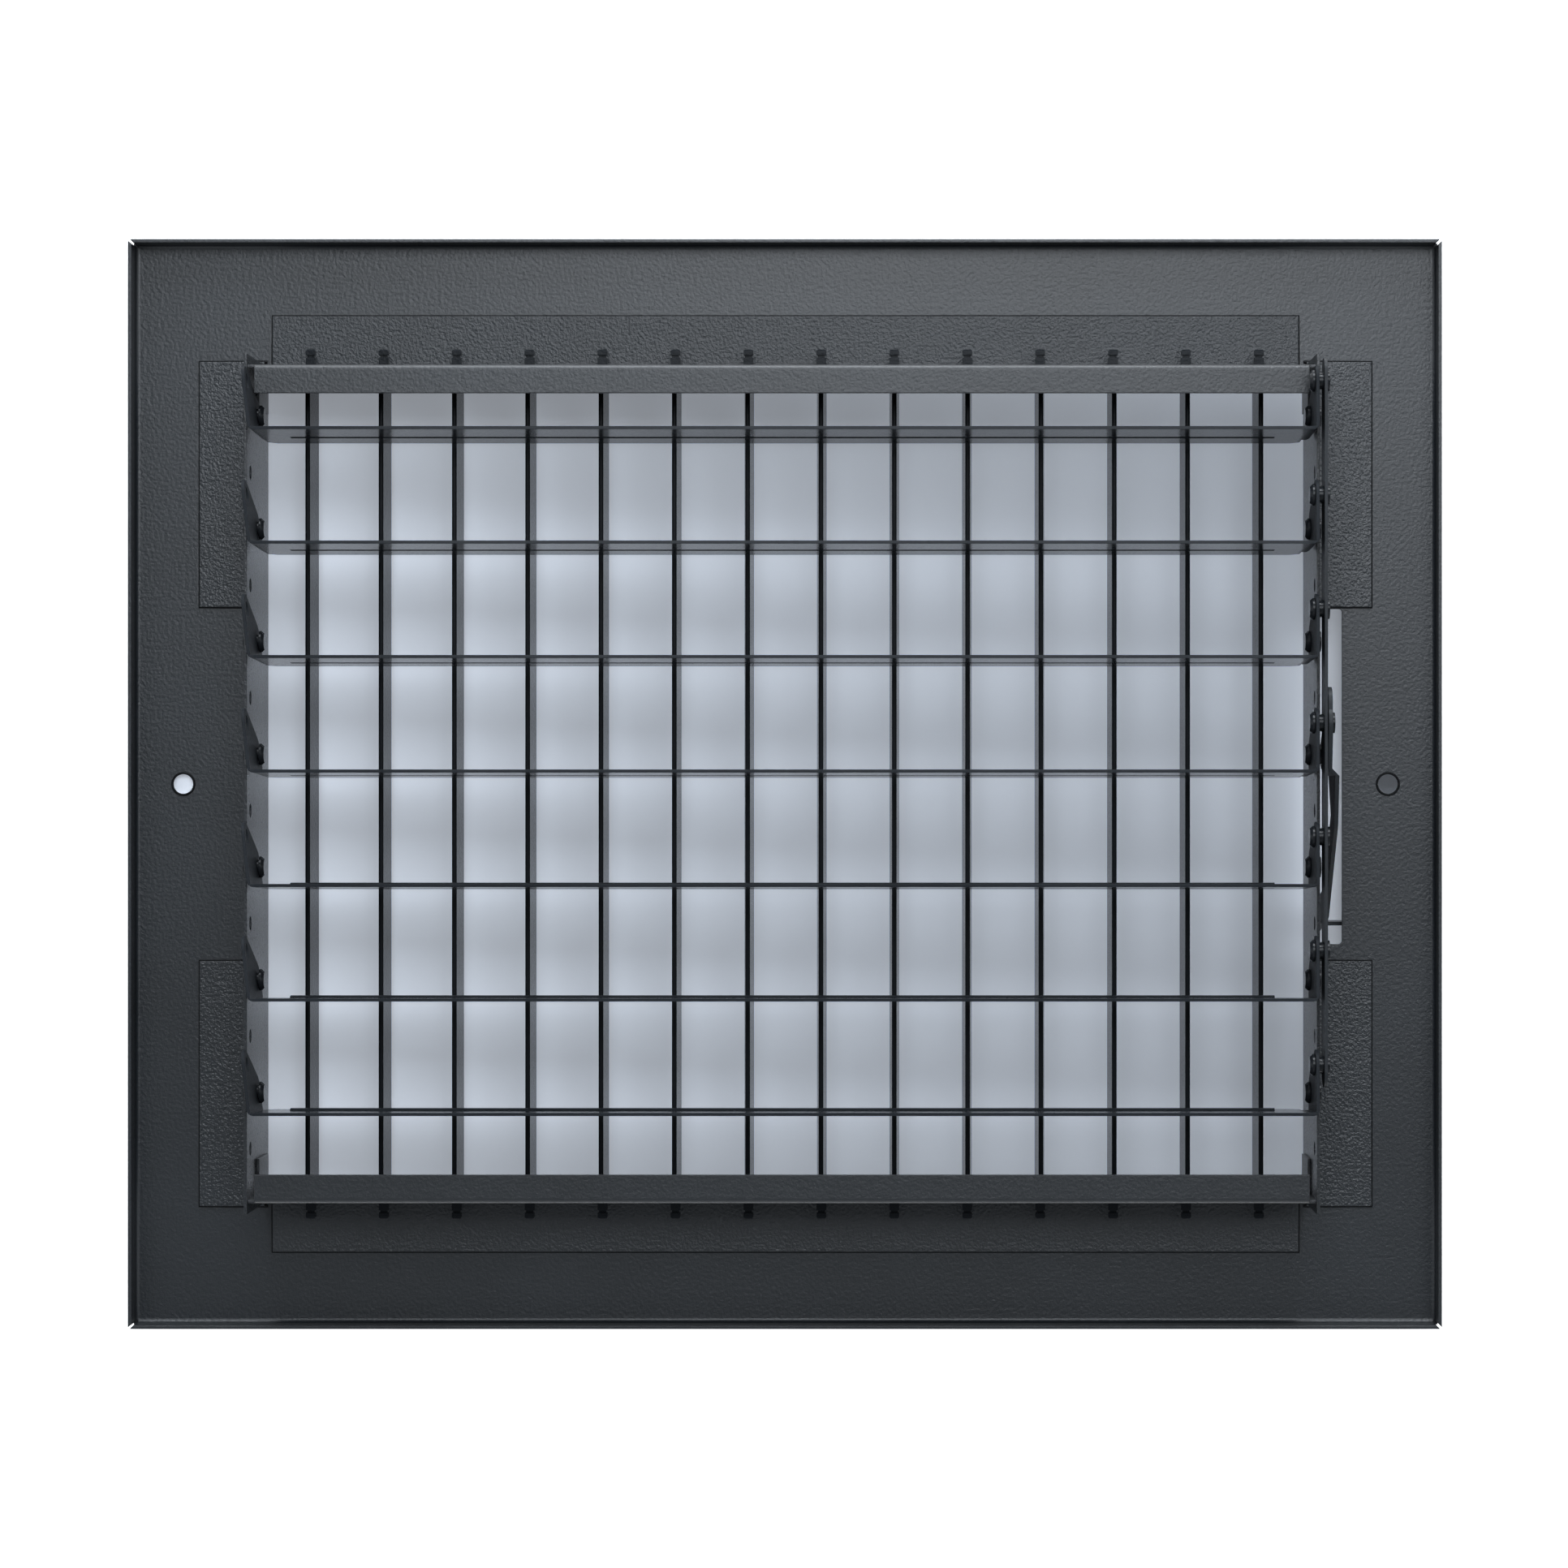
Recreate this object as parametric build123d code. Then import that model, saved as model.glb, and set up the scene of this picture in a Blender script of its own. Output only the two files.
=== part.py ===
from build123d import *
import math
import os

# Supply air register: a folded steel face with upright vanes in its opening and a multi-blade damper behind.
# Millimetres. X runs across the face, +Y points out of the face into the room, +Z is up.
# The origin is the middle of the face plate, on its duct side, between the two screw holes.

# Box behind the face
box_width = 238.2
box_height = 190.5
box_depth = 31.0
box_sheet = 0.7
weld_flange_width = 14.8
weld_flange_height = 56.0
weld_flange_overhang = 1.2

# Face plate
face_side_border = 30.15
face_end_border = 28.55
face_sheet = 0.8
rim_depth = 6.5
rim_bend = 1.6
rim_corner_gap = 0.5
screw_edge_distance = 11.55
screw_hole_radius = 2.5

# Top and bottom channels
channel_inset = 2.35
channel_lip = 6.4
channel_bend = 1.1
channel_flange = 14.0
channel_flange_inset = 1.2
lip_end_gap = 1.6
corner_tab_height = 8.0
corner_tab_width = 14.0
corner_tab_start = 3.5

# Upright vanes
vane_count = 14
vane_wall_distance = 10.695
vane_chord = 12.0
vane_sheet = 0.45
vane_bead_radius = 1.1
vane_tail_radius = 0.55
vane_setback = 0.5
vane_end_gap = 0.5
vane_tab_width = 2.2
vane_tab_thickness = 1.5
vane_tab_reach = 5.8
vane_tab_notch_height = 3.9
vane_tab_notch_width = 0.6
vane_tab_notch_depth = 0.3
vane_tab_hole_radius = 1.4

# Damper blades
blade_count = 7
blade_top_tuck = 0.21
blade_foot_gap = 8.99
blade_lap = 0.13
blade_sheet = 0.7
blade_back = 14.6
blade_drop = 4.4
blade_open_tilt = 2.5
blade_bend = 1.5
blade_front_inset = 1.6
blade_corner_chamfer = 2.0
blade_rib_radius = 1.7
blade_rib_height = 0.6
blade_rib_end_gap = 8.0
ear_wall_gap = 0.3
left_ear_inset = 1.6
left_ear_lean = 7.0
ear_front = 4.2
ear_pivot_radius = 4.2
ear_link_radius = 3.3
ear_corner_radius = 1.6
pivot_inset = 5.0
link_back = 10.9
link_rise = 6.4

# Link bar, lever and rivets
bar_gap = 0.15
bar_sheet = 0.7
bar_width = 7.0
bar_end = 5.0
lever_gap = 0.15
lever_sheet = 0.9
lever_joggle = 1.6
lever_joggle_rise = -3.2
lever_joggle_height = 1.6
lever_width = 7.0
lever_hub_radius = 4.5
lever_head_rise = 4.4
lever_knee_rise = -14.0
lever_knee_back = 4.0
lever_bend_rise = -33.5
lever_bend_front = 12.0
lever_tip_rise = -38.6
lever_tip_front = 40.0
lever_reach = 50.0
thumb_tab_length = 11.0
thumb_tab_reach = 9.0
thumb_tab_corner = 2.0
slot_inner = 1.1
slot_width = 7.0
slot_above_pivot = 33.4
slot_below_pivot = 43.2
slot_corner = 0.8
rivet_radius = 1.6
rivet_head_radius = 2.4
rivet_head_height = 1.1
rivet_tail_radius = 2.3
rivet_tail_height = 0.6
rivet_bevel = 0.6
link_collar_radius = 1.9
running_clearance = 0.05
seat_clearance = 0.02
side_clearance = 0.1

# Places worked out from the sizes above
face_width = box_width + 2 * face_side_border
face_height = box_height + 2 * face_end_border
screw_spacing = face_width - 2 * screw_edge_distance
wall_inner = box_width / 2 - box_sheet
wall_outer = box_width / 2
channel_outer = box_height / 2 - channel_inset
channel_inner = channel_outer - box_sheet
vane_pitch = 2 * (wall_inner - vane_wall_distance) / (vane_count - 1)
vane_pivot_y = face_sheet - vane_setback - vane_chord / 2
vane_places = [(i - (vane_count - 1) / 2) * vane_pitch for i in range(vane_count)]
blade_pitch = (2 * channel_inner + blade_top_tuck - blade_foot_gap - blade_lap) / blade_count
blade_front = blade_pitch + blade_lap - blade_back
pivot_y = pivot_inset - box_depth
top_pivot = channel_inner + blade_top_tuck - blade_front
pivot_places = [top_pivot - i * blade_pitch for i in range(blade_count)]
middle_blade = blade_count // 2
ear_outer = wall_inner - ear_wall_gap
ear_inner = ear_outer - blade_sheet
left_ear_foot = wall_inner - left_ear_inset
blade_bottom = -blade_drop - blade_sheet / 2
open_turn = Rot(X=-blade_open_tilt)
link_offset = (open_turn * Pos(0, -link_back, link_rise)).position
bar_inner = wall_outer + bar_gap
bar_outer = bar_inner + bar_sheet
lever_inner = bar_outer + lever_gap
lever_outer = lever_inner + lever_sheet
slot_left = wall_outer + slot_inner
slot_top = pivot_places[middle_blade] + slot_above_pivot
slot_bottom = pivot_places[middle_blade] - slot_below_pivot


def block(x, y, z):
    """A box between two limits on each axis."""
    size = [limits[1] - limits[0] for limits in (x, y, z)]
    centre = [sum(limits) / 2 for limits in (x, y, z)]
    return Pos(*centre) * Box(*size)


def prism_x(outline, low, high):
    """A sketch drawn on Y and Z, carried along X from low to high."""
    return Pos(low, 0, 0) * extrude(Plane.YZ * outline, high - low)


def rod_x(radius, low, high, y, z):
    """A round bar along X."""
    return Pos((low + high) / 2, y, z) * Rot(Y=90) * Cylinder(radius, high - low)


def rod_y(radius, y, x, z):
    """A round bar along Y."""
    return Pos(x, (y[0] + y[1]) / 2, z) * Rot(X=90) * Cylinder(radius, y[1] - y[0])


def disc(y, z, radius):
    """A circle of a flat pattern, at its place on Y and Z."""
    return Pos(y, z) * Circle(radius)


def hull_of(discs):
    """The flat shape that a band stretched around some circles would take."""
    return make_hull([edge for circle in discs for edge in circle.edges()])


def strap(points, width):
    """A flat strip of one width through some points, round at both ends."""
    strip = Sketch()
    for start, end in zip(points, points[1:]):
        strip += hull_of([disc(*start, width / 2), disc(*end, width / 2)])
    return strip


def face_plate():
    """The face: a tray with a turned-back rim, an opening, the lever's slot and two screw holes."""
    tray = block(
        (-face_width / 2, face_width / 2), (-rim_depth, face_sheet), (-face_height / 2, face_height / 2)
    )
    tray = fillet(tray.faces().sort_by(Axis.Y)[-1].edges(), rim_bend)
    hollow = block(
        (face_sheet - face_width / 2, face_width / 2 - face_sheet),
        (-rim_depth, 0),
        (face_sheet - face_height / 2, face_height / 2 - face_sheet),
    )
    hollow = fillet(hollow.faces().sort_by(Axis.Y)[-1].edges(), rim_bend - face_sheet)
    plate = tray - hollow
    half_gap = rim_corner_gap / 2
    notch = block((-rim_bend, rim_bend), (-rim_depth, 0), (-half_gap, half_gap))
    for x in (-face_width / 2, face_width / 2):
        for z in (-face_height / 2, face_height / 2):
            diagonal = -45 if x * z > 0 else 45
            plate -= Pos(x, 0, z) * Rot(Y=diagonal) * notch
    through = (-rim_depth, 2 * face_sheet)
    plate -= block((-wall_inner, wall_inner), through, (-channel_inner, channel_inner))
    slot = block((slot_left, slot_left + slot_width), through, (slot_bottom, slot_top))
    plate -= fillet(slot.edges().filter_by(Axis.Y), slot_corner)
    for x in (-screw_spacing / 2, screw_spacing / 2):
        plate -= rod_y(screw_hole_radius, through, x, 0)
    return plate


def side_wall():
    """The right wall: a web with rivet holes and two flanges bent out against the face."""
    wall = block((wall_inner, wall_outer), (-box_depth, 0), (-box_height / 2, box_height / 2))
    flange_end = box_height / 2 + weld_flange_overhang
    flange = block(
        (wall_outer, wall_outer + weld_flange_width),
        (-box_sheet, 0),
        (flange_end - weld_flange_height, flange_end),
    )
    wall += flange
    wall += mirror(flange, Plane.XY)
    hole = rivet_radius + seat_clearance
    for z in pivot_places:
        wall -= rod_x(hole, wall_inner - box_sheet, wall_outer + box_sheet, pivot_y, z)
        wall -= rod_x(hole, wall_inner - box_sheet, wall_outer + box_sheet, pivot_y, z - blade_pitch / 2)
    return wall


def top_channel():
    """The top wall: a web with the vanes' holes, a flange on the face, a back lip and two corner tabs."""
    web = block((-wall_inner, wall_inner), (-box_depth, 0), (channel_inner, channel_outer))
    lip_half = wall_inner - lip_end_gap
    lip_sheet = (-box_depth, box_sheet - box_depth)
    lip = block((-lip_half, lip_half), lip_sheet, (channel_outer - channel_lip, channel_outer))
    trim = block((lip_half, wall_inner), lip_sheet, (channel_inner, channel_outer))
    channel = web + lip - trim - mirror(trim, Plane.YZ)
    back_edges = channel.edges().filter_by(Axis.X).filter_by_position(Axis.Y, -box_depth, -box_depth)
    channel = fillet(back_edges.sort_by(Axis.Z)[-1], channel_bend)
    flange_half = wall_inner - channel_flange_inset
    channel += block(
        (-flange_half, flange_half), (-box_sheet, 0), (channel_outer, channel_outer + channel_flange)
    )
    tab = block(
        (wall_inner - box_sheet, wall_inner),
        (-corner_tab_start - corner_tab_width, -corner_tab_start),
        (channel_inner - corner_tab_height, channel_inner),
    )
    channel += tab
    channel += mirror(tab, Plane.YZ)
    for x in vane_places:
        hole = Pos(x, vane_pivot_y, (channel_inner + channel_outer) / 2)
        channel -= hole * Cylinder(vane_tab_hole_radius, 2 * box_sheet)
    return channel


def vane(x):
    """An upright vane: one sheet folded double round its front bead, with a notched tab at each end."""
    front = vane_chord / 2 - vane_bead_radius
    back = vane_tail_radius - vane_chord / 2
    outline = hull_of([disc(0, front, vane_bead_radius), disc(0, back, vane_tail_radius)])
    hollow = hull_of(
        [disc(0, front, vane_bead_radius - vane_sheet), disc(0, back, vane_tail_radius - vane_sheet)]
    )
    half = channel_inner - vane_end_gap
    leaf = Pos(0, 0, -half) * extrude(outline - hollow, 2 * half)
    top = channel_outer + vane_tab_reach
    notch_z = channel_outer + vane_tab_notch_height
    across = vane_tab_width / 2
    along = vane_tab_thickness / 2
    tab = block((-across, across), (-along, along), (half, top))
    tab = chamfer(tab.faces().sort_by(Axis.Z)[-1].edges(), vane_tab_notch_depth)
    notch = block((-across, across), (-along, along), (notch_z, notch_z + vane_tab_notch_width))
    neck = block(
        (vane_tab_notch_depth - across, across - vane_tab_notch_depth),
        (vane_tab_notch_depth - along, along - vane_tab_notch_depth),
        (notch_z, notch_z + vane_tab_notch_width),
    )
    root = block((-across, across), (-along, along), (half - vane_tab_width, half))
    root &= Pos(0, 0, -half) * extrude(outline, 2 * half)
    tab = tab - notch + neck + root
    return Pos(x, vane_pivot_y, 0) * (leaf + tab + mirror(tab, Plane.XY))


def ear_pattern():
    """The upright ear at a blade's end, drawn round its pivot."""
    corner_z = blade_bottom + ear_corner_radius
    return hull_of(
        [
            disc(0, 0, ear_pivot_radius),
            disc(-link_back, link_rise, ear_link_radius),
            disc(ear_corner_radius - blade_back, corner_z, ear_corner_radius),
            disc(ear_front - ear_corner_radius, corner_z, ear_corner_radius),
        ]
    )


def lean_out(left_ear):
    """Turns an upright left ear outward about the line where it is bent up."""
    bend_line = Pos(-left_ear_foot, 0, blade_bottom)
    return bend_line * Rot(Y=-left_ear_lean) * bend_line.inverse() * left_ear


def blade(z):
    """A damper blade: a ribbed strip with an ear bent up at each end, each with two rivet holes."""
    top = link_rise + ear_link_radius
    floor = (blade_bottom, blade_bottom + blade_sheet)
    ends = (-blade_back, ear_front)
    left_ear_inner = blade_sheet - left_ear_foot
    strip = block((-left_ear_foot, ear_outer), ends, floor)
    right_ear = block((ear_inner, ear_outer), ends, (blade_bottom, top))
    left_ear = lean_out(block((-left_ear_foot, left_ear_inner), ends, (blade_bottom, top)))
    tray = strip + right_ear + left_ear
    along = tray.edges().filter_by(Axis.Y)
    tray = fillet(along.group_by(Axis.Z)[0], blade_bend)
    above_bend = (blade_bottom + blade_bend, top)
    tray -= block((ear_inner, ear_outer), ends, above_bend) - prism_x(ear_pattern(), ear_inner, ear_outer)
    left_waste = block((-left_ear_foot, left_ear_inner), ends, above_bend)
    tray -= lean_out(left_waste - prism_x(ear_pattern(), -left_ear_foot, left_ear_inner))
    nose_half = ear_inner - blade_front_inset
    nose = block((-nose_half, nose_half), (0, blade_front), floor)
    front_corners = nose.edges().filter_by(Axis.Z).group_by(Axis.Y)[-1]
    nose = chamfer(front_corners, blade_corner_chamfer)
    rib_half = ear_inner - blade_rib_end_gap
    rib_z = blade_bottom + blade_sheet + blade_rib_height - blade_rib_radius
    rib = rod_x(blade_rib_radius, -rib_half, rib_half, 0, rib_z)
    groove = Pos(0, 0, -blade_sheet) * rib
    above = block((-rib_half, rib_half), (-blade_rib_radius, blade_rib_radius), (blade_bottom, top))
    body = tray + nose + (rib & above) - (groove & above)
    for y, height in ((0, 0), (-link_back, link_rise)):
        body -= rod_x(rivet_radius + running_clearance, -wall_outer, wall_outer, y, height)
    return Pos(0, pivot_y, z) * open_turn * body


def rivet(y, z, ear, far_seat):
    """A rivet along X: a bevelled head on the ear's inner side, a shank, and a tail on its far seat."""
    head_seat = ear - side_clearance
    head = rod_x(rivet_head_radius, head_seat - rivet_head_height, head_seat, y, z)
    head = chamfer(head.edges().sort_by(Axis.X)[0], rivet_bevel)
    shank = rod_x(rivet_radius, head_seat, far_seat, y, z)
    tail = rod_x(rivet_tail_radius, far_seat, far_seat + rivet_tail_height, y, z)
    return head + shank + tail


def pivot_rivets():
    """The rivets that hold the blades in the side walls, with a longer one where the lever turns."""
    lowest_under_head = -blade_bottom - rivet_head_radius
    lean = math.radians(left_ear_lean)
    left_ear = left_ear_foot + lowest_under_head * math.tan(lean) - blade_sheet / math.cos(lean)
    group = []
    for i, z in enumerate(pivot_places):
        group.append(mirror(rivet(pivot_y, z, left_ear, wall_outer), Plane.YZ))
        if i == middle_blade:
            right = rivet(pivot_y, z, ear_inner, lever_outer + side_clearance)
            right += rod_x(rivet_tail_radius, wall_outer, lever_inner - side_clearance, pivot_y, z)
        else:
            right = rivet(pivot_y, z, ear_inner, wall_outer)
        group.append(right)
    return Compound(children=group)


def link_rivets():
    """The rivets that pin the blades' ears to the link bar, the middle one also through the lever."""
    group = []
    y = pivot_y + link_offset.Y
    for i, pivot_z in enumerate(pivot_places):
        z = pivot_z + link_offset.Z
        far_seat = lever_outer + side_clearance if i == middle_blade else bar_outer
        collar = rod_x(link_collar_radius, ear_outer + side_clearance, bar_inner, y, z)
        group.append(rivet(y, z, ear_inner, far_seat) + collar)
    return Compound(children=group)


def link_bar():
    """The flat bar outside the right wall that makes the blades turn together."""
    y = pivot_y + link_offset.Y
    places = [z + link_offset.Z for z in pivot_places]
    reach = bar_end - bar_width / 2
    outline = strap([(y, places[-1] - reach), (y, places[0] + reach)], bar_width)
    bar = prism_x(outline, bar_inner, bar_outer)
    for z in places:
        bar -= rod_x(rivet_radius + seat_clearance, bar_inner - bar_sheet, bar_outer + bar_sheet, y, z)
    return bar


def lever_sheet_fold(top, bottom):
    """The lever's bent sheet before it is cut out: upright by the rivets, then stepped outward."""
    step_top = lever_joggle_rise
    step_bottom = lever_joggle_rise - lever_joggle_height
    inner = [(0, top), (0, step_top), (lever_joggle, step_bottom), (lever_joggle, bottom)]
    outer = [(x + lever_sheet, z) for x, z in reversed(inner)]
    profile = make_face(Polyline(*inner, *outer, close=True))
    return Pos(lever_inner, 0, 0) * extrude(Plane.XZ * profile, lever_reach, both=True)


def lever():
    """The crank that turns the middle blade: a plate on two rivets, an arm and a thumb tab."""
    link = (link_offset.Y, link_offset.Z)
    heel = (link_offset.Y, link_offset.Z + lever_head_rise)
    knee = (lever_knee_back - link_back, lever_knee_rise)
    bend = (lever_bend_front, lever_bend_rise)
    tip = (lever_tip_front, lever_tip_rise)
    hub = hull_of(
        [disc(0, 0, lever_hub_radius), disc(*link, lever_hub_radius), disc(*knee, lever_width / 2)]
    )
    outline = hub + strap([heel, link], lever_width) + strap([knee, bend, tip], lever_width)
    arm_inner = lever_inner + lever_joggle
    arm_outer = lever_outer + lever_joggle
    plate = prism_x(outline, lever_inner, arm_outer)
    plate &= lever_sheet_fold(heel[1] + lever_width, lever_tip_rise - lever_width)
    hole = rivet_radius + running_clearance
    for y, z in ((0, 0), link):
        plate -= rod_x(hole, lever_inner - lever_sheet, lever_outer + lever_sheet, y, z)
    tab = block(
        (arm_inner, arm_outer + thumb_tab_reach),
        (lever_tip_front - thumb_tab_length, lever_tip_front),
        (lever_tip_rise - lever_sheet / 2, lever_tip_rise + lever_sheet / 2),
    )
    tab = fillet(tab.edges().filter_by(Axis.Z).group_by(Axis.X)[-1], thumb_tab_corner)
    return Pos(0, pivot_y, pivot_places[middle_blade]) * (plate + tab)


def write(name, shape):
    """Saves one named piece."""
    shape.label = name
    export_step(shape, os.path.join("parts", name + ".step"))


os.makedirs("parts", exist_ok=True)
right_wall = side_wall()
upper_channel = top_channel()
write("face_plate", face_plate())
write("wall_right", right_wall)
write("wall_left", mirror(right_wall, Plane.YZ))
write("channel_top", upper_channel)
write("channel_bottom", mirror(upper_channel, Plane.XY))
for i, x in enumerate(vane_places):
    write(f"vane_{i + 1:02d}", vane(x))
for i, z in enumerate(pivot_places):
    write(f"blade_{i + 1}", blade(z))
write("pivot_rivets", pivot_rivets())
write("link_rivets", link_rivets())
write("link_bar", link_bar())
write("lever", lever())
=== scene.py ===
"""Looks for a supply air register, seen from its duct side: coated sheet, vanes, damper, rivets and stage."""

import math
from collections import namedtuple

import bmesh
import bpy
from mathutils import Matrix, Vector


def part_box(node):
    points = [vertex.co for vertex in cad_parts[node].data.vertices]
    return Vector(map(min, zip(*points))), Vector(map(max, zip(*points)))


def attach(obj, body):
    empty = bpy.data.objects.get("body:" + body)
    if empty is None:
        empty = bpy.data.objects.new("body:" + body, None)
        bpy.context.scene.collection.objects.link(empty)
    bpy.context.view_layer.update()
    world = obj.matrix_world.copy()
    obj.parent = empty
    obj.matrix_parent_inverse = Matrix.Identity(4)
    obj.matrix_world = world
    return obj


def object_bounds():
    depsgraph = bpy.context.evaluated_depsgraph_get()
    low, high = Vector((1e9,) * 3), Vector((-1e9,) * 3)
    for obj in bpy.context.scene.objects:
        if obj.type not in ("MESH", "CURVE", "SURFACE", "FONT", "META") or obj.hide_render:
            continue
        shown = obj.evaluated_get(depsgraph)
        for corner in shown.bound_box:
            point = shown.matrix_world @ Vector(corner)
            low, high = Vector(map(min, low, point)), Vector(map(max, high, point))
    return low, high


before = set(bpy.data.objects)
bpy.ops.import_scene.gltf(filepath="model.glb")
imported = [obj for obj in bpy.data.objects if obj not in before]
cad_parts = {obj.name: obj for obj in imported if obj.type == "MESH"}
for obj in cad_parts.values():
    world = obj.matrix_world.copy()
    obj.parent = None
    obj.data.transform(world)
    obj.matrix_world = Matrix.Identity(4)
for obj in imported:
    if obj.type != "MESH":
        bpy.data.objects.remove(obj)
cad_low, cad_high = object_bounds()

bl_info = {
    "name": "Supply air register",
    "version": (1, 0, 0),
    "blender": (4, 5, 0),
    "location": "3D View > Sidebar > Register",
    "description": "Coats the pieces of a damper register and sets its stage",
    "category": "Object",
}

# Pieces that share a finish
FACE_NODES = ("face_plate",)
WALL_NODES = ("wall_left", "wall_right")
CHANNEL_NODES = ("channel_top", "channel_bottom")
VANE_NODES = tuple(n for n in sorted(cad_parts) if n.startswith("vane_"))
BLADE_NODES = tuple(n for n in sorted(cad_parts) if n.startswith("blade_"))
LINK_NODES = ("link_bar", "lever")
RIVET_NODES = ("pivot_rivets", "link_rivets")

# Finishes: mean roughness, specular level and the share of the full grain height
Finish = namedtuple("Finish", "roughness shine grain_share")
FACE_FINISH = Finish(0.34, 0.50, 0.5)
WALL_FINISH = Finish(0.28, 0.50, 1.3)
CHANNEL_FINISH = Finish(0.36, 0.50, 1.3)
SEAM_FINISH = Finish(0.60, 0.12, 0.3)
VANE_FINISH = Finish(0.17, 0.05, 0.4)
BLADE_FINISH = Finish(0.15, 0.06, 0.4)
LINK_FINISH = Finish(0.42, 0.20, 0.4)
RIVET_FINISH = Finish(0.16, 0.16, 0.3)

# The coat's cloudiness, as places on the noise and shares of the colour there
CLOUD_SCALE = 28.0
CLOUD_DETAIL = 4.0
CLOUD_STOPS = (0.30, 0.72)
CLOUD_SHARES = (0.82, 1.18)

# The coat's orange peel: it changes the roughness a little, and is fainter towards the duct end of the box
PEEL_DETAIL = 2.0
PEEL_ROUGHNESS = 0.55
SHEEN_LOW = -0.06
SHEEN_HIGH = 0.08
SMOOTH_SHARE = 0.12
EDGE_SAMPLES = 4

# The blades' ears: how far in from the blade's end they reach, and the roughness they add
EAR_DEPTH = 0.0030
EAR_DULLNESS = 0.34

# Seams and rims, dark beads of painted shade: the screw holes lie within these least and greatest X and this
# half height
HAIR = 0.00001
BEAD_ROUNDNESS = 2
HOLE_ZONE = (0.130, 0.146, 0.004)
RIM_POINTS = 40

# Camera and ground: stops of the ground's painted light, an emission that brightens the shaded ground and
# falls off as painted shade towards the right, are shares of the face's width from the left
SENSOR_WIDTH = 36.0
WHITE = (1, 1, 1)
FULL_GLOW = (1, 1, 1, 1)
SHADE_SHARE = 0.985
PAINTED_LIGHT_STOPS = (0.0, 0.895, 0.925, 0.95)

# Lamps, each with the setting that holds its power, and sky: stops run from behind the camera to the room
Lamp = namedtuple("Lamp", "name place size power")
LAMPS = (
    Lamp("key_lamp", (0.04, -1.2, 0.42), 0.6, "key_power"),
    Lamp("top_lamp", (0, -0.55, 1.2), 0.6, "top_power"),
    Lamp("left_lamp", (-0.9, -1.2, 0.30), 0.6, "left_power"),
    Lamp("right_lamp", (0.62, -1.2, 0.25), 0.5, "right_power"),
    Lamp("room_lamp", (0.3, 1.1, 0.9), 1.0, "room_power"),
)
LAMP_AIM = Vector((0, 0, 0))
LAMP_TINT = (0.89, 0.94, 1.0)
SKY_TINT = (0.90, 0.95, 1.0)
SKY_STOPS = (0.0, 0.22, 0.45, 0.60)


class RegisterCoat(bpy.types.PropertyGroup):
    """The black powder coat, its grain, and the painted shade along its seams and round its screw holes."""

    sheet_colour: bpy.props.FloatVectorProperty(
        name="Sheet colour", description="Colour of the coat on the face and box",
        subtype="COLOR", size=3, min=0, max=1, default=(0.0115, 0.0138, 0.0165),
    )
    blade_colour: bpy.props.FloatVectorProperty(
        name="Blade colour", description="Colour of the coat on the damper blades, link bar and lever",
        subtype="COLOR", size=3, min=0, max=1, default=(0.0150, 0.0172, 0.0200),
    )
    vane_colour: bpy.props.FloatVectorProperty(
        name="Vane colour", description="Colour of the coat on the upright vanes",
        subtype="COLOR", size=3, min=0, max=1, default=(0.0105, 0.0120, 0.0140),
    )
    rivet_colour: bpy.props.FloatVectorProperty(
        name="Rivet colour", description="Colour of the paint on the rivets",
        subtype="COLOR", size=3, min=0, max=1, default=(0.0110, 0.0125, 0.0145),
    )
    # Painted shade: the seams and hole rims get a darker, dull coat that stands in for the shade in those
    # crevices
    painted_seam_shade: bpy.props.FloatVectorProperty(
        name="Seam colour", description="Colour of the dull coat in the seams and on the hole rims",
        subtype="COLOR", size=3, min=0, max=1, default=(0.0040, 0.0045, 0.0052),
    )
    face_grain: bpy.props.FloatProperty(
        name="Face grain", description="Width of one bump of the orange peel on the face",
        subtype="DISTANCE", unit="LENGTH", min=0.0002, max=0.005, default=0.0008,
    )
    box_grain: bpy.props.FloatProperty(
        name="Box grain", description="Width of one bump of the orange peel on the box and its parts",
        subtype="DISTANCE", unit="LENGTH", min=0.0002, max=0.005, default=0.0007,
    )
    grain_height: bpy.props.FloatProperty(
        name="Grain height", description="Height of the orange peel",
        subtype="DISTANCE", unit="LENGTH", min=0, max=0.002, default=0.00018,
    )
    sheet_edge: bpy.props.FloatProperty(
        name="Sheet edge", description="How far the coat rounds the cut edges of the face and box",
        subtype="DISTANCE", unit="LENGTH", min=0, max=0.002, default=0.00040,
    )
    thin_edge: bpy.props.FloatProperty(
        name="Thin edge",
        description="How far the coat rounds the edges of vanes, blades, linkage and rivets",
        subtype="DISTANCE", unit="LENGTH", min=0, max=0.002, default=0.00016,
    )
    seam_radius: bpy.props.FloatProperty(
        name="Seam", description="Radius of the dark seam along the flanges' edges",
        subtype="DISTANCE", unit="LENGTH", min=0.00005, max=0.001, default=0.00036,
    )
    rim_radius: bpy.props.FloatProperty(
        name="Hole rim", description="Radius of the dark rim round each screw hole",
        subtype="DISTANCE", unit="LENGTH", min=0.00005, max=0.001, default=0.00028,
    )


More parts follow.
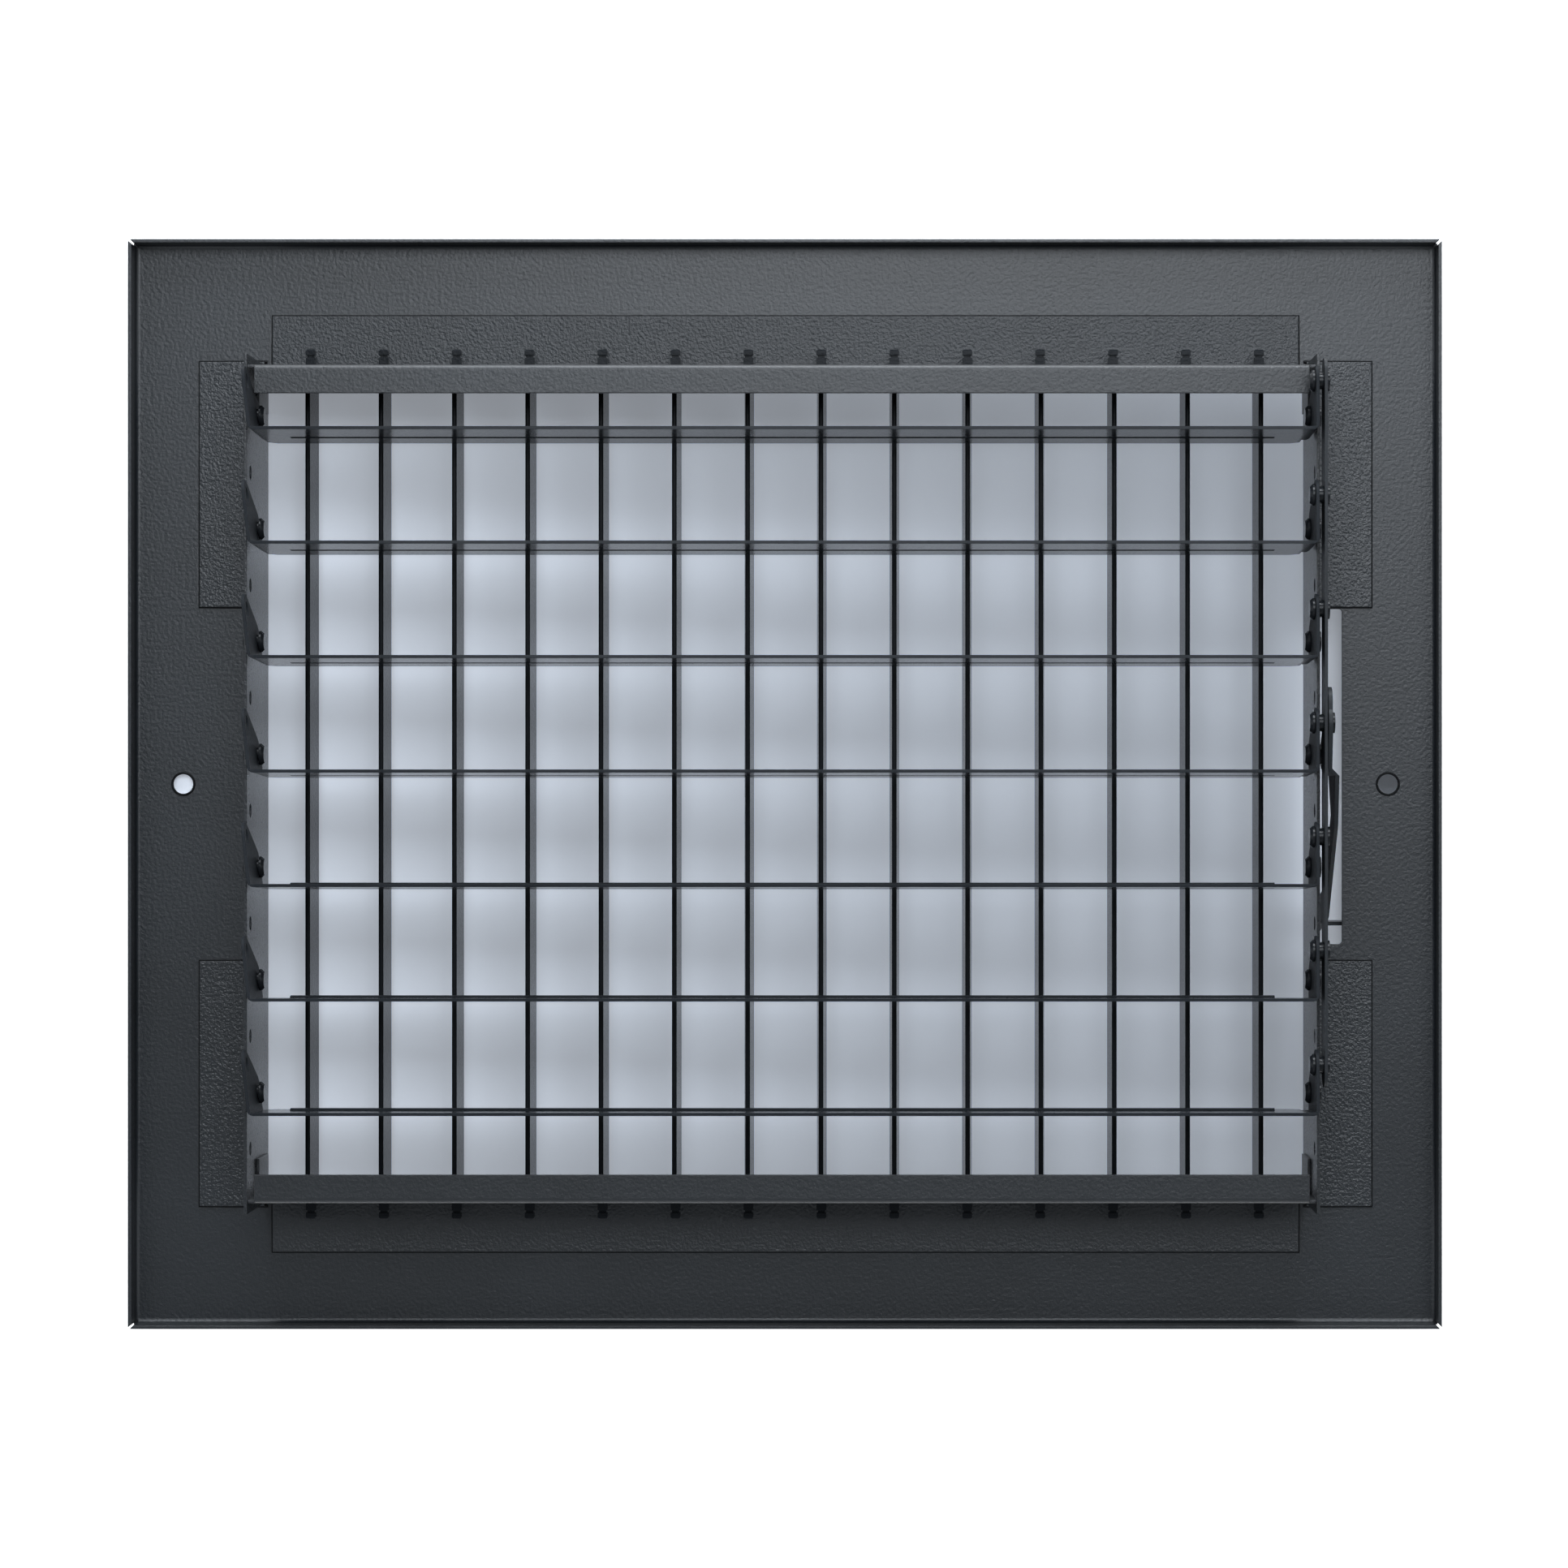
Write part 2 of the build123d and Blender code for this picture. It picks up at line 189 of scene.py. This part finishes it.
class RegisterStage(bpy.types.PropertyGroup):
    """The camera, the lamps, the sky and the white ground behind the face."""

    camera_place: bpy.props.FloatVectorProperty(
        name="Camera", description="Where the camera stands", subtype="XYZ", unit="LENGTH",
        size=3, default=(0.0258, -0.965, 0.0),
    )
    lens: bpy.props.FloatProperty(
        name="Lens", description="Focal length for a 36 mm wide picture, in millimetres",
        min=10, max=300, default=96.9,
    )
    picture_shift: bpy.props.FloatProperty(
        name="Picture shift", description="Sideways shift of the picture, as a share of its width",
        min=-0.5, max=0.5, default=-0.073,
    )
    ground_gap: bpy.props.FloatProperty(
        name="Ground gap", description="From the face's left edge to the white ground it lies on",
        subtype="DISTANCE", unit="LENGTH", min=0.0001, max=1, default=0.0006,
    )
    ground_colour: bpy.props.FloatVectorProperty(
        name="Ground colour", description="Colour of the ground seen through the opening",
        subtype="COLOR", size=3, min=0, max=1, default=(0.82, 0.87, 0.95),
    )
    # Painted light on the shaded ground: emission levels at the left, the right wall, the slot and the right
    # edge; the drop towards the right is painted shade
    ground_painted_light: bpy.props.FloatVectorProperty(
        name="Ground glow",
        description="Light that spreads through the ground: left, right wall, slot, right edge",
        size=4, min=0, max=1, default=(0.31, 0.14, 0.28, 0.06),
    )
    ground_reach: bpy.props.FloatProperty(
        name="Ground reach", description="Half the width of the white ground",
        subtype="DISTANCE", unit="LENGTH", min=0.2, max=10, default=3.0,
    )
    key_power: bpy.props.FloatProperty(
        name="Key lamp", description="Power of the soft lamp above the camera",
        unit="POWER", min=0, max=500, default=6.8,
    )
    top_power: bpy.props.FloatProperty(
        name="Top lamp", description="Power of the soft lamp overhead",
        unit="POWER", min=0, max=500, default=16.0,
    )
    left_power: bpy.props.FloatProperty(
        name="Left lamp", description="Power of the soft lamp on the left",
        unit="POWER", min=0, max=500, default=0.4,
    )
    right_power: bpy.props.FloatProperty(
        name="Right lamp", description="Power of the soft lamp on the right",
        unit="POWER", min=0, max=500, default=1.6,
    )
    room_power: bpy.props.FloatProperty(
        name="Room lamp", description="Power of the soft lamp on the room side",
        unit="POWER", min=0, max=500, default=12.0,
    )
    sky_ahead: bpy.props.FloatProperty(
        name="Sky ahead", description="Strength of the even light straight behind the camera",
        min=0, max=1, default=0.28,
    )
    sky_around: bpy.props.FloatProperty(
        name="Sky around", description="Strength of the even light from the sides",
        min=0, max=1, default=0.90,
    )
    sky_room: bpy.props.FloatProperty(
        name="Sky in the room", description="Strength of the even light on the room side",
        min=0, max=1, default=0.40,
    )


def fill_ramp(ramp, positions, colours):
    """Sets the stops of a new colour ramp, from the lowest position to the highest."""
    stops = ramp.color_ramp.elements
    for position in positions[1:-1]:
        stops.new(position)
    for stop, position, colour in zip(stops, positions, colours):
        stop.position = position
        stop.color = (*colour, 1)


def cloudy_tint(nodes, links, place, colour):
    """The coat's colour, a little lighter and darker in soft clouds."""
    cloud = nodes.new("ShaderNodeTexNoise")
    cloud.inputs["Scale"].default_value = CLOUD_SCALE
    cloud.inputs["Detail"].default_value = CLOUD_DETAIL
    links.new(place, cloud.inputs["Vector"])
    tint = nodes.new("ShaderNodeValToRGB")
    fill_ramp(tint, CLOUD_STOPS, [[share * c for c in colour] for share in CLOUD_SHARES])
    links.new(cloud.outputs["Fac"], tint.inputs["Fac"])
    return tint.outputs["Color"]


def orange_peel(nodes, links, place, grain):
    """The fine bumps of the coat, each about one grain wide."""
    peel = nodes.new("ShaderNodeTexNoise")
    peel.inputs["Scale"].default_value = 1 / grain
    peel.inputs["Detail"].default_value = PEEL_DETAIL
    peel.inputs["Roughness"].default_value = PEEL_ROUGHNESS
    links.new(place, peel.inputs["Vector"])
    return peel.outputs["Fac"]


def uneven_sheen(nodes, links, peel, roughness):
    """The coat's roughness, which follows the orange peel."""
    sheen = nodes.new("ShaderNodeMapRange")
    sheen.inputs["To Min"].default_value = roughness + SHEEN_LOW
    sheen.inputs["To Max"].default_value = roughness + SHEEN_HIGH
    links.new(peel, sheen.inputs["Value"])
    return sheen.outputs["Result"]


def coated_surface(nodes, links, place, peel, height, edge_round):
    """The surface's slope: rounded cut edges, and bumps that fade towards the duct end of the box."""
    edge = nodes.new("ShaderNodeBevel")
    edge.samples = EDGE_SAMPLES
    edge.inputs["Radius"].default_value = edge_round
    depth = nodes.new("ShaderNodeSeparateXYZ")
    links.new(place, depth.inputs["Vector"])
    fade = nodes.new("ShaderNodeMapRange")
    fade.inputs["From Min"].default_value = cad_low.y
    fade.inputs["From Max"].default_value = 0.0
    fade.inputs["To Min"].default_value = SMOOTH_SHARE
    fade.inputs["To Max"].default_value = 1.0
    links.new(depth.outputs["Y"], fade.inputs["Value"])
    bump = nodes.new("ShaderNodeBump")
    bump.inputs["Distance"].default_value = height
    links.new(fade.outputs["Result"], bump.inputs["Strength"])
    links.new(peel, bump.inputs["Height"])
    links.new(edge.outputs["Normal"], bump.inputs["Normal"])
    return bump.outputs["Normal"]


def coat_material(name, colour, finish, grain, edge_round):
    """A powder coat with orange peel, faint cloudiness and rounded cut edges."""
    material = bpy.data.materials.new(name)
    material.use_nodes = True
    nodes, links = material.node_tree.nodes, material.node_tree.links
    shader = nodes["Principled BSDF"]
    shader.inputs["Specular IOR Level"].default_value = finish.shine
    place = nodes.new("ShaderNodeTexCoord").outputs["Object"]
    peel = orange_peel(nodes, links, place, grain)
    height = bpy.context.scene.register_coat.grain_height * finish.grain_share
    tint = cloudy_tint(nodes, links, place, colour)
    sheen = uneven_sheen(nodes, links, peel, finish.roughness)
    surface = coated_surface(nodes, links, place, peel, height, edge_round)
    links.new(tint, shader.inputs["Base Color"])
    links.new(sheen, shader.inputs["Roughness"])
    links.new(surface, shader.inputs["Normal"])
    return material


def dull_ears(material):
    """Makes the coat duller on the bent-up ears at both ends of the blades."""
    nodes, links = material.node_tree.nodes, material.node_tree.links
    shader = nodes["Principled BSDF"]
    sheen = shader.inputs["Roughness"].links[0].from_socket
    place = nodes.new("ShaderNodeTexCoord")
    axes = nodes.new("ShaderNodeSeparateXYZ")
    links.new(place.outputs["Object"], axes.inputs["Vector"])
    reach = nodes.new("ShaderNodeMath")
    reach.operation = "ABSOLUTE"
    links.new(axes.outputs["X"], reach.inputs[0])
    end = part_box(BLADE_NODES[0])[1].x
    dull = nodes.new("ShaderNodeMapRange")
    dull.inputs["From Min"].default_value = end - EAR_DEPTH
    dull.inputs["From Max"].default_value = end - EAR_DEPTH / 2
    dull.inputs["To Max"].default_value = EAR_DULLNESS
    links.new(reach.outputs["Value"], dull.inputs["Value"])
    total = nodes.new("ShaderNodeMath")
    total.operation = "ADD"
    links.new(sheen, total.inputs[0])
    links.new(dull.outputs["Result"], total.inputs[1])
    links.new(total.outputs["Value"], shader.inputs["Roughness"])


def coat_nodes(names, material):
    """Gives CAD pieces one finish."""
    for name in names:
        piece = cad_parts[name]
        piece.data.materials.clear()
        piece.data.materials.append(material)


class REGISTER_OT_face(bpy.types.Operator):
    """Coats the face plate"""

    bl_idname = "register.face"
    bl_label = "Coat face"

    def execute(self, context):
        coat = context.scene.register_coat
        finish = coat_material("face_coat", coat.sheet_colour, FACE_FINISH, coat.face_grain, coat.sheet_edge)
        coat_nodes(FACE_NODES, finish)
        return {"FINISHED"}


class REGISTER_OT_box(bpy.types.Operator):
    """Coats the walls and the channels of the box"""

    bl_idname = "register.box"
    bl_label = "Coat box"

    def execute(self, context):
        coat = context.scene.register_coat
        grain, edge = coat.box_grain, coat.sheet_edge
        walls = coat_material("wall_coat", coat.sheet_colour, WALL_FINISH, grain, edge)
        coat_nodes(WALL_NODES, walls)
        channels = coat_material("channel_coat", coat.sheet_colour, CHANNEL_FINISH, grain, edge)
        coat_nodes(CHANNEL_NODES, channels)
        return {"FINISHED"}


def flange_outlines():
    """The three free edges of each flange that lies on the face, as points on X and Z."""
    outlines = []
    for name in WALL_NODES:
        points = [v.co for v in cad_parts[name].data.vertices]
        outer = max((p.x for p in points), key=abs)
        root = min((p.x for p in points if p.y > -HAIR), key=abs)
        ends = sorted({round(p.z, 6) for p in points if abs(p.x - outer) < HAIR})
        for near, far in ((ends[1], ends[0]), (ends[-2], ends[-1])):
            outlines.append([(root, near), (outer, near), (outer, far), (root, far)])
    for name in CHANNEL_NODES:
        points = [v.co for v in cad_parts[name].data.vertices]
        outer = max((p.z for p in points), key=abs)
        half = max(p.x for p in points if abs(p.z - outer) < HAIR)
        root = min((p.z for p in points if abs(p.x - half) < HAIR), key=abs)
        outlines.append([(-half, root), (-half, outer), (half, outer), (half, root)])
    return outlines


def in_hole_zone(point, side):
    """Whether a point of the face's duct side belongs to the screw hole on one side."""
    nearest, farthest, half_height = HOLE_ZONE
    return abs(point.y) < HAIR and nearest < side * point.x < farthest and abs(point.z) < half_height


def hole_rims():
    """The rims of the two screw holes on the face's duct side, as rings of points on X and Z."""
    turns = [2 * math.pi * i / RIM_POINTS for i in range(RIM_POINTS)]
    rings = []
    for side in (-1, 1):
        points = [v.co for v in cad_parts["face_plate"].data.vertices if in_hole_zone(v.co, side)]
        low, high = min(p.x for p in points), max(p.x for p in points)
        centre, radius = (low + high) / 2, (high - low) / 2
        rings.append([(centre + radius * math.cos(a), radius * math.sin(a)) for a in turns])
    return rings


def thin_bead(name, outlines, radius, lift, closed, material):
    """A thin round bead along some outlines, lifted off the face's duct side."""
    line = bpy.data.curves.new(name, "CURVE")
    line.dimensions = "3D"
    line.bevel_depth = radius
    line.bevel_resolution = BEAD_ROUNDNESS
    for outline in outlines:
        run = line.splines.new("POLY")
        run.points.add(len(outline) - 1)
        run.use_cyclic_u = closed
        for point, (x, z) in zip(run.points, outline):
            point.co = (x, -lift, z, 1)
    path = bpy.data.objects.new(name + "_path", line)
    mesh = bpy.data.meshes.new_from_object(path)
    bpy.data.objects.remove(path)
    bead = bpy.data.objects.new(name, mesh)
    bpy.context.scene.collection.objects.link(bead)
    mesh.materials.append(material)
    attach(bead, "frame")


class REGISTER_OT_seams(bpy.types.Operator):
    """Fills the seams where the flanges' edges meet the face, and darkens the screw holes' rims, with dull
    dark beads that are painted shade
    """

    bl_idname = "register.seams"
    bl_label = "Fill seams"

    def execute(self, context):
        coat = context.scene.register_coat
        # The dark dull beads are painted shade along the flange seams and round the screw holes
        finish = coat_material("seam_coat", coat.painted_seam_shade, SEAM_FINISH, coat.box_grain, coat.thin_edge)
        thin_bead("flange_seams", flange_outlines(), coat.seam_radius, coat.seam_radius, False, finish)
        thin_bead("screw_hole_rims", hole_rims(), coat.rim_radius, 0, True, finish)
        return {"FINISHED"}


class REGISTER_OT_vanes(bpy.types.Operator):
    """Coats the upright vanes"""

    bl_idname = "register.vanes"
    bl_label = "Coat vanes"

    def execute(self, context):
        coat = context.scene.register_coat
        finish = coat_material("vane_coat", coat.vane_colour, VANE_FINISH, coat.box_grain, coat.thin_edge)
        coat_nodes(VANE_NODES, finish)
        return {"FINISHED"}


class REGISTER_OT_blades(bpy.types.Operator):
    """Coats the damper blades"""

    bl_idname = "register.blades"
    bl_label = "Coat blades"

    def execute(self, context):
        coat = context.scene.register_coat
        finish = coat_material("blade_coat", coat.blade_colour, BLADE_FINISH, coat.box_grain, coat.thin_edge)
        dull_ears(finish)
        coat_nodes(BLADE_NODES, finish)
        return {"FINISHED"}


class REGISTER_OT_linkage(bpy.types.Operator):
    """Coats the link bar and the lever"""

    bl_idname = "register.linkage"
    bl_label = "Coat link bar and lever"

    def execute(self, context):
        coat = context.scene.register_coat
        finish = coat_material("linkage_coat", coat.blade_colour, LINK_FINISH, coat.box_grain, coat.thin_edge)
        coat_nodes(LINK_NODES, finish)
        return {"FINISHED"}


class REGISTER_OT_rivets(bpy.types.Operator):
    """Paints the rivets"""

    bl_idname = "register.rivets"
    bl_label = "Paint rivets"

    def execute(self, context):
        coat = context.scene.register_coat
        finish = coat_material("rivet_paint", coat.rivet_colour, RIVET_FINISH, coat.box_grain, coat.thin_edge)
        coat_nodes(RIVET_NODES, finish)
        return {"FINISHED"}


def ground_material(name, colour, glow):
    """Ground seen from the duct side only; its emission, painted light and painted shade on the shaded panel
    and even white on the white panel, runs from left to right, and 1 is full white.
    """
    material = bpy.data.materials.new(name)
    material.use_nodes = True
    nodes, links = material.node_tree.nodes, material.node_tree.links
    nodes.remove(nodes["Principled BSDF"])
    paper = nodes.new("ShaderNodeBsdfDiffuse")
    paper.inputs["Color"].default_value = (*colour, 1)
    shine = nodes.new("ShaderNodeEmission")
    shine.inputs["Color"].default_value = (*colour, 1)
    place = nodes.new("ShaderNodeTexCoord")
    axes = nodes.new("ShaderNodeSeparateXYZ")
    across = nodes.new("ShaderNodeMapRange")
    across.inputs["From Min"].default_value = cad_low.x
    across.inputs["From Max"].default_value = cad_high.x
    links.new(place.outputs["Object"], axes.inputs["Vector"])
    links.new(axes.outputs["X"], across.inputs["Value"])
    spread = nodes.new("ShaderNodeValToRGB")
    fill_ramp(spread, PAINTED_LIGHT_STOPS, [(level, level, level) for level in glow])
    links.new(across.outputs["Result"], spread.inputs["Fac"])
    # On the shaded panel this emission is painted light, falling off as painted shade towards the right; on
    # the white panel it is even white
    links.new(spread.outputs["Color"], shine.inputs["Strength"])
    surface = nodes.new("ShaderNodeAddShader")
    links.new(paper.outputs["BSDF"], surface.inputs[0])
    links.new(shine.outputs["Emission"], surface.inputs[1])
    clear = nodes.new("ShaderNodeBsdfTransparent")
    side = nodes.new("ShaderNodeNewGeometry")
    mix = nodes.new("ShaderNodeMixShader")
    links.new(side.outputs["Backfacing"], mix.inputs["Fac"])
    links.new(surface.outputs["Shader"], mix.inputs[1])
    links.new(clear.outputs["BSDF"], mix.inputs[2])
    links.new(mix.outputs["Shader"], nodes["Material Output"].inputs["Surface"])
    return material


def stage_mesh(name, build, unseen_by):
    """Turns a finished bmesh into a stage object that some kinds of light ray pass by."""
    mesh = bpy.data.meshes.new(name)
    build.to_mesh(mesh)
    build.free()
    panel = bpy.data.objects.new(name, mesh)
    bpy.context.scene.collection.objects.link(panel)
    for ray in unseen_by:
        setattr(panel, ray, False)
    return panel


def ground_panel(name, half_width, half_height, lie, hole=None):
    """A flat panel facing the duct side, with a rectangular hole if one is given; lie gives Y at each X."""
    build = bmesh.new()

    def ring(w, h):
        corners = ((-w, -h), (w, -h), (w, h), (-w, h))
        return [build.verts.new((x, lie(x), z)) for x, z in corners]

    outer = ring(half_width, half_height)
    if hole:
        inner = ring(*hole)
        for i in range(4):
            j = (i + 1) % 4
            build.faces.new((outer[i], outer[j], inner[j], inner[i]))
    else:
        build.faces.new(outer)
    return stage_mesh(name, build, ("visible_diffuse", "visible_transmission", "visible_shadow"))


def shade_flag(name, x, near, far, half_height):
    """An upright black flag, itself unseen, that keeps side light off the ground under the face."""
    build = bmesh.new()
    corners = ((near, -half_height), (far, -half_height), (far, half_height), (near, half_height))
    build.faces.new([build.verts.new((x, y, z)) for y, z in corners])
    flag = stage_mesh(name, build, ("visible_camera", "visible_glossy", "visible_transmission"))
    black = bpy.data.materials.new("flag_black")
    black.use_nodes = True
    black.node_tree.nodes["Principled BSDF"].inputs["Base Color"].default_value = (0, 0, 0, 1)
    flag.data.materials.append(black)


def lay_ground(stage):
    """The white ground: shaded under the face with painted light and painted shade on it, full white around
    it, with the flag at the right edge.
    """
    face_low, face_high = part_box("face_plate")
    lever_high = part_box("lever")[1]
    slope = (lever_high.y - face_high.y) / (lever_high.x - face_low.x)

    def lie(x):
        """The face rests on its left edge and on the lever's tip."""
        return face_high.y + stage.ground_gap + slope * (x - face_low.x)

    shade_half = (SHADE_SHARE * face_high.x, SHADE_SHARE * face_high.z)
    shade = ground_panel("ground_shade", *shade_half, lie)
    # The shaded panel carries painted light and painted shade as emission
    shade.data.materials.append(ground_material("ground_shade", stage.ground_colour, stage.ground_painted_light))
    reach = stage.ground_reach
    white = ground_panel("ground_white", reach, reach, lie, hole=shade_half)
    white.data.materials.append(ground_material("ground_white", WHITE, FULL_GLOW))
    flag_x = face_high.x + stage.ground_gap
    shade_flag("ground_flag", flag_x, face_low.y, lie(flag_x), face_high.z)


def set_camera(stage):
    """The camera in front of the duct side, level, with the picture shifted sideways."""
    camera_data = bpy.data.cameras.new("camera")
    camera_data.sensor_width = SENSOR_WIDTH
    camera_data.lens = stage.lens
    camera_data.shift_x = stage.picture_shift
    camera = bpy.data.objects.new("camera", camera_data)
    camera.location = stage.camera_place
    camera.rotation_euler = (math.pi / 2, 0, 0)
    bpy.context.scene.collection.objects.link(camera)
    bpy.context.scene.camera = camera


def soft_lamp(name, place, size, power):
    """A square soft lamp turned towards the middle of the face."""
    lamp = bpy.data.lights.new(name, "AREA")
    lamp.shape = "SQUARE"
    lamp.size = size
    lamp.energy = power
    lamp.color = LAMP_TINT
    lamp_object = bpy.data.objects.new(name, lamp)
    lamp_object.location = place
    lamp_object.rotation_euler = (LAMP_AIM - Vector(place)).to_track_quat("-Z", "Y").to_euler()
    bpy.context.scene.collection.objects.link(lamp_object)


def make_sky(stage):
    """Even light that is dim behind the camera, bright at the sides and softer in the room; seen as white."""
    world = bpy.data.worlds.new("sky")
    world.use_nodes = True
    nodes, links = world.node_tree.nodes, world.node_tree.links
    sky = nodes["Background"]
    way = nodes.new("ShaderNodeTexCoord")
    axes = nodes.new("ShaderNodeSeparateXYZ")
    share = nodes.new("ShaderNodeMapRange")
    share.inputs["From Min"].default_value = -1.0
    spread = nodes.new("ShaderNodeValToRGB")
    spread.color_ramp.interpolation = "EASE"
    levels = (stage.sky_ahead, stage.sky_around, stage.sky_around, stage.sky_room)
    fill_ramp(spread, SKY_STOPS, [[level * c for c in SKY_TINT] for level in levels])
    links.new(way.outputs["Generated"], axes.inputs["Vector"])
    links.new(axes.outputs["Y"], share.inputs["Value"])
    links.new(share.outputs["Result"], spread.inputs["Fac"])
    links.new(spread.outputs["Color"], sky.inputs["Color"])
    seen = nodes.new("ShaderNodeBackground")
    seen.inputs["Color"].default_value = (*WHITE, 1)
    seen.inputs["Strength"].default_value = 1.0
    path = nodes.new("ShaderNodeLightPath")
    mix = nodes.new("ShaderNodeMixShader")
    links.new(path.outputs["Is Camera Ray"], mix.inputs["Fac"])
    links.new(sky.outputs["Background"], mix.inputs[1])
    links.new(seen.outputs["Background"], mix.inputs[2])
    links.new(mix.outputs["Shader"], nodes["World Output"].inputs["Surface"])
    bpy.context.scene.world = world


class REGISTER_OT_stage(bpy.types.Operator):
    """Sets the camera, the lamps, the sky and the white ground"""

    bl_idname = "register.stage"
    bl_label = "Set stage"

    def execute(self, context):
        stage = context.scene.register_stage
        set_camera(stage)
        lay_ground(stage)
        for lamp in LAMPS:
            soft_lamp(lamp.name, lamp.place, lamp.size, getattr(stage, lamp.power))
        make_sky(stage)
        context.scene.view_settings.view_transform = "Standard"
        return {"FINISHED"}


OPERATORS = (
    REGISTER_OT_face,
    REGISTER_OT_box,
    REGISTER_OT_seams,
    REGISTER_OT_vanes,
    REGISTER_OT_blades,
    REGISTER_OT_linkage,
    REGISTER_OT_rivets,
    REGISTER_OT_stage,
)


class REGISTER_PT_sidebar(bpy.types.Panel):
    """Lists the register's settings and the steps that coat it and set its stage"""

    bl_idname = "REGISTER_PT_sidebar"
    bl_label = "Supply air register"
    bl_space_type = "VIEW_3D"
    bl_region_type = "UI"
    bl_category = "Register"

    def draw(self, context):
        layout = self.layout
        for settings in (context.scene.register_coat, context.scene.register_stage):
            for name in settings.__annotations__:
                layout.prop(settings, name)
        for operator in OPERATORS:
            layout.operator(operator.bl_idname)


CLASSES = (RegisterCoat, RegisterStage, *OPERATORS, REGISTER_PT_sidebar)


def register():
    """Adds the classes and gives the scene its settings."""
    for cls in CLASSES:
        bpy.utils.register_class(cls)
    bpy.types.Scene.register_coat = bpy.props.PointerProperty(type=RegisterCoat)
    bpy.types.Scene.register_stage = bpy.props.PointerProperty(type=RegisterStage)


def unregister():
    """Takes the settings and the classes away again."""
    del bpy.types.Scene.register_stage
    del bpy.types.Scene.register_coat
    for cls in reversed(CLASSES):
        bpy.utils.unregister_class(cls)


def main():
    """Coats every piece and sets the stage."""
    register()
    bpy.ops.register.face()
    bpy.ops.register.box()
    bpy.ops.register.seams()
    bpy.ops.register.vanes()
    bpy.ops.register.blades()
    bpy.ops.register.linkage()
    bpy.ops.register.rivets()
    bpy.ops.register.stage()


if __name__ == "__main__":
    main()
